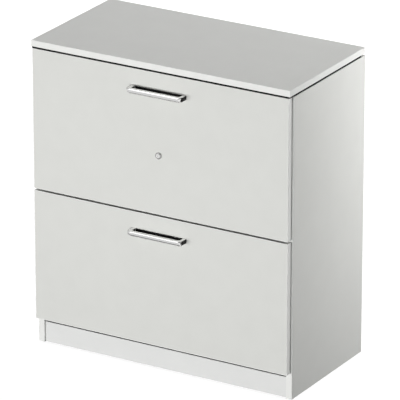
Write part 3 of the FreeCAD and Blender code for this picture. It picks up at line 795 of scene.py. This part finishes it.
def box_front(prefix):
    """Inner front: a beaded web between two folded ends that are screwed to the front board."""
    low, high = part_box(prefix + "_box_front")
    rise = high.z - low.z
    width = high.x - low.x - 2 * front_fold_reach
    bm = bmesh.new()
    pressed_sheet(bm, (low.x + front_fold_reach, high.y - sheet, low.z), (1, 0, 0), (0, 0, 1), (width, rise),
                  end_beads(width, rise), (0, 1, 0))
    near_y = low.y + sheet / 2
    far_y = high.y - sheet / 2
    side_x = high.x - sheet / 2
    outline = bent_strip([(high.x - front_fold_reach, far_y), (side_x, far_y), (side_x, near_y),
                          (high.x - front_foot, near_y)])
    strip = bmesh.new()
    drawn_out(strip, outline, Z, low.z, high.z)
    cutter = bmesh.new()
    for z in (low.z + driver_hole_inset, high.z - driver_hole_inset):
        turned(cutter, (high.x - front_foot / 2, high.y, z), Y,
               [(driver_hole, -2 * sheet), (driver_hole, 2 * sheet)])
    folded_ends(bm, carved(strip, cutter))
    piece(prefix + "_box_inner_front", bm, prefix + "_box_front")


rail_round = 1.2 * MM
rail_round_steps = 5
rail_wall = 1.5 * MM
rail_crown = 3 * MM


def hanging_rails(prefix):
    """Channels that hanging files hook on to."""
    bm = bmesh.new()
    for low, high in part_boxes(prefix + "_hang_rails"):
        corners = [Vector(corner) for corner in (
            (low.y, low.z), (low.y, high.z), (high.y, high.z), (high.y, low.z), (high.y - rail_wall, low.z),
            (high.y - rail_wall, high.z - rail_crown), (low.y + rail_wall, high.z - rail_crown),
            (low.y + rail_wall, low.z))]
        outline = corners[:1]
        for index in (1, 2):
            outline += corner_arc(corners[index - 1], corners[index], corners[index + 1], rail_round,
                                  rail_round_steps)
        drawn_out(bm, outline + corners[3:], X, low.x, high.x)
    piece(prefix + "_file_rails", bm, prefix + "_hang_rails")


# Ball slides

slot_half = Vector((6 * MM, 2.6 * MM))
slot_end_round = 0.98 * slot_half.y
slot_count = 5


def slide_member(name, node, web_outside):
    """A folded channel on each side, with slots in its web."""
    low, high = part_boxes(node)[-1]
    web_x = high.x - sheet / 2 if web_outside else low.x + sheet / 2
    lip_x = low.x if web_outside else high.x
    corners = [(lip_x, low.z + sheet / 2), (web_x, low.z + sheet / 2), (web_x, high.z - sheet / 2),
               (lip_x, high.z - sheet / 2)]
    solid = bmesh.new()
    drawn_out(solid, bent_strip(corners), Y, low.y, high.y)
    cutter = bmesh.new()
    middle_z = (low.z + high.z) / 2
    for index in range(slot_count):
        y = low.y + (high.y - low.y) * (index + 0.5) / slot_count
        outline = [(y + u, middle_z + v) for u, v in rounded_rectangle(*slot_half, slot_end_round)]
        drawn_out(cutter, outline, X, web_x - 2 * sheet, web_x + 2 * sheet)
    bm = carved(solid, cutter)
    add_mirror(bm)
    piece(name, bm, node)


ball_radius = 1.7 * MM
cage_ease = 0.25 * MM


def ball_cage(name, node):
    """Pressed strips with rows of steel balls."""
    bm = bmesh.new()
    for low, high in part_boxes(node):
        middle = (low + high) / 2
        is_strip = high.y - low.y > 4 * ball_radius
        if is_strip:
            block(bm, low, high, cage_ease)
        else:
            bmesh.ops.create_uvsphere(bm, u_segments=16, v_segments=10, radius=ball_radius,
                                      matrix=Matrix.Translation(middle))
    piece(name, bm, node)


# Fasteners, feet and pads

cross_length = 4.6 * MM
cross_width = 0.9 * MM
cross_depth = 1.3 * MM
screw_shank = 2.2 * MM
screw_head = 2.2 * MM
screw_steps = 24
head_curve = ((0.25, 0), (0.62, 0.12), (0.88, 0.4), (1, 0.75), (1, 1))
rivet_head = 1.2 * MM
rivet_curve = ((0.5, 0), (1, 0.6), (1, 1))
rivet_end = ((0.8, 0), (0.8, 0.4 * MM), (0.5, 0.9 * MM))


def odd_axis(low, high):
    """The axis of a round shape: the one whose extent differs from the other two."""
    size = high - low

    def difference(axis):
        return abs(size[axis] - size[axis - 1]) + abs(size[axis] - size[axis - 2])

    return max((X, Y, Z), key=difference)


def cross_outline(u, v):
    """Outline of a cross recess about a point of a plane."""
    long, short = cross_length / 2, cross_width / 2
    corners = [(long, -short), (long, short), (short, short)]
    points = []
    for quarter in range(4):
        points += [(u + a, v + b) for a, b in corners]
        corners = [(-b, a) for a, b in corners]
    return points


def fastener(low, high, axis, head_side):
    """A round-headed screw, with a cross recess, whose head is at one end of its box."""
    middle = (low + high) / 2
    flat = [middle[other] for other in (X, Y, Z) if other != axis]
    middle[axis] = 0
    radius = (high - low)[axis - 1] / 2
    tip, end = (low[axis], high[axis]) if head_side > 0 else (high[axis], low[axis])
    profile = [(radius * share, end - head_side * screw_head * drop) for share, drop in head_curve]
    profile += [(screw_shank, end - head_side * screw_head), (screw_shank, tip)]
    solid = bmesh.new()
    turned(solid, middle, axis, profile, screw_steps)
    cutter = bmesh.new()
    drawn_out(cutter, cross_outline(*flat), axis, end - cross_depth, end + cross_depth)
    return carved(solid, cutter)


def rivet(low, high):
    """A rivet through a drawer wall, with its head outside and its closed end inside."""
    middle = (low + high) / 2
    side = math.copysign(1, middle.x)
    middle.x = 0
    radius = (high.z - low.z) / 2
    outer, inner = (high.x, low.x) if side > 0 else (low.x, high.x)
    profile = [(radius * share, outer - side * rivet_head * drop) for share, drop in rivet_curve]
    profile += [(screw_shank, outer - side * rivet_head), (screw_shank, inner)]
    profile += [(radius * share, inner - side * distance) for share, distance in rivet_end]
    bm = bmesh.new()
    turned(bm, middle, X, profile, screw_steps)
    return bm


def screws(name, node, head_sides):
    """Screws and rivets of a node. head_sides says where the heads of the screws are on each axis."""
    bm = bmesh.new()
    for low, high in part_boxes(node):
        axis = odd_axis(low, high)
        if axis == X:
            join(bm, rivet(low, high))
        else:
            join(bm, fastener(low, high, axis, head_sides[axis]))
    piece(name, bm, node)


thread_pitch = 1.5 * MM
thread_depth = 0.5 * MM
thread_steps = 24
foot_stem = 5 * MM
foot_pad_curve = ((1.5 * MM, 0), (0, 1 * MM), (0, 3.5 * MM), (0.6 * MM, 5 * MM), (2 * MM, 6 * MM))
foot_neck_curve = ((3 * MM, 6 * MM), (1 * MM, 8 * MM), (0, 10 * MM))
foot_pad_steps = 40
stem_start = 8 * MM
collar_height = 8 * MM
collar_radius = 8.5 * MM
collar_chamfer = 0.8 * MM
collar_sides = 6


def levelling_foot(corner):
    """Moulded pad, threaded stem and a six-sided collar."""
    node = "foot_" + corner
    low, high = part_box(node)
    middle = (low + high) / 2
    middle.z = 0
    radius = (high.x - low.x) / 2
    collar_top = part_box("foot_sockets")[0].z
    collar_low = collar_top - collar_height
    bm = bmesh.new()
    pad = [(radius - inset, height) for inset, height in foot_pad_curve]
    pad += [(foot_stem + beyond, height) for beyond, height in foot_neck_curve]
    turned(bm, middle, Z, pad, foot_pad_steps)
    stem = [(foot_stem, stem_start), (foot_stem, collar_low)]
    level = collar_low
    while level < high.z - thread_pitch:
        stem += [(foot_stem, level), (foot_stem - thread_depth, level + thread_pitch / 2)]
        level += thread_pitch
    stem.append((foot_stem - thread_depth, high.z))
    turned(bm, middle, Z, stem, thread_steps)
    collar = [(collar_radius - collar_chamfer, collar_low), (collar_radius, collar_low + collar_chamfer),
              (collar_radius, collar_top - collar_chamfer), (collar_radius - collar_chamfer, collar_top)]
    turned(bm, middle, Z, collar, collar_sides)
    piece("levelling_" + node, bm, node, material="foot_plastic")


bumper_curve = ((1, 0), (0.98, 0.5), (0.8, 0.85), (0.4, 1))
bumper_steps = 24


def bumper_pads(prefix):
    """Soft domes behind a drawer front. The curve is in shares of their radius and height."""
    bm = bmesh.new()
    for low, high in part_boxes(prefix + "_bumpers"):
        middle = (low + high) / 2
        middle.y = 0
        radius = (high.x - low.x) / 2
        proud = high.y - low.y
        profile = [(radius * share, low.y + proud * rise) for share, rise in bumper_curve]
        turned(bm, middle, Y, profile, bumper_steps)
    piece(prefix + "_bumper_pads", bm, prefix + "_bumpers")


# Solids that stay as they are, with eased edges and a finish

eased_angle = math.radians(50)


def dress(node):
    """Gives a solid of the frame its finish and eases its edges."""
    made = frame["nodes"][node]
    made.data.materials.clear()
    made.data.materials.append(materials[slot_of_node(node)])
    weld = made.modifiers.new("weld", "WELD")
    weld.merge_threshold = same_place
    bevel = made.modifiers.new("eased_edges", "BEVEL")
    bevel.width = arris
    bevel.segments = 2
    bevel.limit_method = "ANGLE"
    bevel.angle_limit = eased_angle
    bevel.harden_normals = False
    flat_faces(made)


# The cabinet

top_board()
top_bands()
side_bands()
for side in ("left", "right"):
    plain_board(side + "_side_board", side + "_side")
plain_board("back_board", "back_panel")
# The front plinth takes the lighter copy of the board: painted light from the floor.
plain_board("plinth_front_board", "front_plinth", "bounce_lit_board")
plain_board("plinth_rear_board", "rear_plinth")
lock_face()
lock_plug()
for drawer in ("upper", "lower"):
    drawer_front(drawer)
    drawer_front_bands(drawer)
    bow_handle(drawer)
    # Painted reflection: black skin on the outer side of the handle legs.
    painted_leg_reflection(drawer)
    finger_recess(drawer)
    box_sides(drawer)
    box_rear(drawer)
    box_floor(drawer)
    box_front(drawer)
    hanging_rails(drawer)
    slide_member(drawer + "_cabinet_runners", drawer + "_outer_slides", True)
    slide_member(drawer + "_middle_runners", drawer + "_middle_slides", True)
    slide_member(drawer + "_drawer_runners", drawer + "_inner_slides", False)
    ball_cage(drawer + "_outer_ball_strips", drawer + "_outer_cages")
    ball_cage(drawer + "_inner_ball_strips", drawer + "_inner_cages")
    screws(drawer + "_drawer_screws", drawer + "_screws", {Y: 1})
    bumper_pads(drawer)
screws("cabinet_screws", "carcass_screws", {Y: 1, Z: -1})
for corner in ("front_left", "front_right", "rear_left", "rear_right"):
    levelling_foot(corner)
# The shadow gap strips include the near-black strip over the front plinth, which is painted shade under the
# lower front.
for node in ("bottom_panel", "top_front_rail", "top_rear_rail", "shadow_gap_strips", "cam_fittings",
             "slide_screws", "foot_sockets", "strike_plate", "lock_pinion", "lock_rod_up", "lock_rod_down",
             "rod_guides", "lock_catch"):
    dress(node)

# Studio

floor_glow = 0.92
floor_colour = (0.2, 0.2, 0.2)
floor_disc = 1.0
sweep_radius = 26.0
sweep_bend = 4.0
sweep_top = 16.0
sweep_bend_steps = 8
sweep_steps = 96


def studio_sweep():
    """Pale floor that bends up into a far wall. It glows a little, so that it stays white."""
    profile = [(floor_disc, 0.0), (sweep_radius, 0.0)]
    for step in range(1, sweep_bend_steps + 1):
        angle = math.pi / 2 * step / sweep_bend_steps
        profile.append((sweep_radius + sweep_bend * math.sin(angle), sweep_bend * (1 - math.cos(angle))))
    profile.append((sweep_radius + sweep_bend, sweep_top))
    bm = bmesh.new()
    rings = []
    for radius, height in profile:
        rings.append([bm.verts.new(point) for point in circle((0, 0, height), Z, radius, sweep_steps)])
    bm.faces.new(rings[0])
    for inner, outer in zip(rings, rings[1:]):
        for index in range(sweep_steps):
            following = (index + 1) % sweep_steps
            bm.faces.new((inner[index], outer[index], outer[following], inner[following]))
    sweep = loose_object("studio_sweep", bm)
    sweep.data.shade_smooth()
    material, _, shader = blank_material("studio_sweep")
    shader.inputs["Base Color"].default_value = (*floor_colour, 1)
    shader.inputs["Roughness"].default_value = 1.0
    shader.inputs["Specular IOR Level"].default_value = 0.0
    shader.inputs["Emission Color"].default_value = (1, 1, 1, 1)
    shader.inputs["Emission Strength"].default_value = floor_glow
    sweep.data.materials.append(material)
    sweep.visible_diffuse = False
    sweep.visible_shadow = False


card_corner = 0.2
card_height = 0.005
right_card = (0.8, -0.85), (3.0, -0.1)
right_card_glow = 0.0
front_card = (-1.6, -0.7), (0.4, -0.26)
front_card_glow = 0.3
face_card = (-2.6, -3.4), (0.5, -0.7)
face_card_glow = 0.8
high_card_place = Vector((-1.9, -2.4, 3.6))
high_card_aim = Vector((0, -0.2, 0.7))
high_card_half = 1.5, 1.2
high_card_glow = 2.3


def card(name, points, glow):
    """A card of the studio, which only shows as a reflection in the bright metal."""
    bm = bmesh.new()
    bm.faces.new([bm.verts.new(point) for point in points])
    shown = loose_object(name, bm)
    material, _, shader = blank_material(name)
    shader.inputs["Base Color"].default_value = (0, 0, 0, 1)
    shader.inputs["Specular IOR Level"].default_value = 0.0
    shader.inputs["Emission Color"].default_value = (1, 1, 1, 1)
    shader.inputs["Emission Strength"].default_value = glow
    shown.data.materials.append(material)
    shown.visible_camera = False
    shown.visible_diffuse = False
    shown.visible_shadow = False


def floor_card(name, corners, glow):
    """Card that lies on the floor and is darker than the floor."""
    low, high = (Vector(corner) for corner in corners)
    middle = (high + low) / 2
    outline = rounded_rectangle(*((high - low) / 2), card_corner)
    card(name, [(middle.x + u, middle.y + v, card_height) for u, v in outline], glow)


def high_card():
    """Bright card above and in front, whose reflection runs along the upper edge of the handles."""
    turn = (high_card_aim - high_card_place).to_track_quat("-Z", "Y")
    outline = rounded_rectangle(*high_card_half, card_corner)
    card("high_card", [high_card_place + turn @ Vector((u, v, 0)) for u, v in outline], high_card_glow)


def softbox(name, place, aim, size, power, reflects=True):
    """A large soft lamp. Lamps that don't reflect leave no bright patch in the metal."""
    light = bpy.data.lights.new(name, "AREA")
    light.shape = "RECTANGLE"
    light.size, light.size_y = size
    light.energy = power
    lamp = bpy.data.objects.new(name, light)
    lamp.location = place
    lamp.rotation_mode = "QUATERNION"
    lamp.rotation_quaternion = (Vector(aim) - Vector(place)).to_track_quat("-Z", "Y")
    lamp.visible_camera = False
    lamp.visible_glossy = reflects
    bpy.context.scene.collection.objects.link(lamp)


world_glow = 0.117


def studio_light():
    """Even light from all sides, and lamps that give each face its tone."""
    world = bpy.data.worlds.new("studio")
    world.use_nodes = True
    world.node_tree.nodes["Background"].inputs["Color"].default_value = (1, 1, 1, 1)
    world.node_tree.nodes["Background"].inputs["Strength"].default_value = world_glow
    bpy.context.scene.world = world
    softbox("front_light", place=(0.5, -5.4, 0.45), aim=(0, 0, 0.45), size=(2.6, 0.7), power=170,
            reflects=False)
    softbox("low_front_light", place=(-1.6, -4.6, 0.36), aim=(0, 0, 0.3), size=(2.4, 0.6), power=86,
            reflects=False)
    softbox("over_light", place=(-0.8, 0.0, 4.5), aim=(0, 0, 0.8), size=(3.4, 2.4), power=52)
    softbox("side_light", place=(1.5, 1.0, 1.7), aim=(0.4, 0.1, 0.5), size=(0.9, 0.9), power=7.5,
            reflects=False)
    softbox("low_side_light", place=(1.15, 0.92, 0.78), aim=(0.4, 0.1, 0.5), size=(0.7, 0.8), power=14.4,
            reflects=False)
    softbox("left_light", place=(-5.0, 0.3, 0.8), aim=(-0.4, 0, 0.45), size=(2.0, 1.2), power=45,
            reflects=False)
    softbox("back_light", place=(-1.3, 3.0, 0.8), aim=(0, 0.2, 0.45), size=(2.0, 1.0), power=30,
            reflects=False)
    softbox("far_light", place=(-2.88, 4.6, 2.93), aim=(0, 0, 0.6), size=(2.4, 1.6), power=28)


# Camera

camera_azimuth = math.radians(30.678)
camera_elevation = math.radians(21.058)
camera_distance = 12.146
camera_lens = 408.73
camera_sensor = 36.0
camera_reach = 100.0
camera_aim = Vector((0.0840, -0.1140, 0.4966))


def photo_camera():
    """Camera that sees the cabinet as the photo does."""
    data = bpy.data.cameras.new("camera")
    data.sensor_width = camera_sensor
    data.lens = camera_lens
    data.clip_end = camera_reach
    camera = bpy.data.objects.new("camera", data)
    back = Vector((math.sin(camera_azimuth) * math.cos(camera_elevation),
                   -math.cos(camera_azimuth) * math.cos(camera_elevation),
                   math.sin(camera_elevation)))
    camera.location = camera_aim + back * camera_distance
    camera.rotation_mode = "QUATERNION"
    camera.rotation_quaternion = (-back).to_track_quat("-Z", "Y")
    bpy.context.scene.collection.objects.link(camera)
    bpy.context.scene.camera = camera
    bpy.context.scene.view_settings.view_transform = "Standard"


studio_sweep()
floor_card("right_card", right_card, right_card_glow)
floor_card("front_card", front_card, front_card_glow)
floor_card("face_card", face_card, face_card_glow)
high_card()
studio_light()
photo_camera()
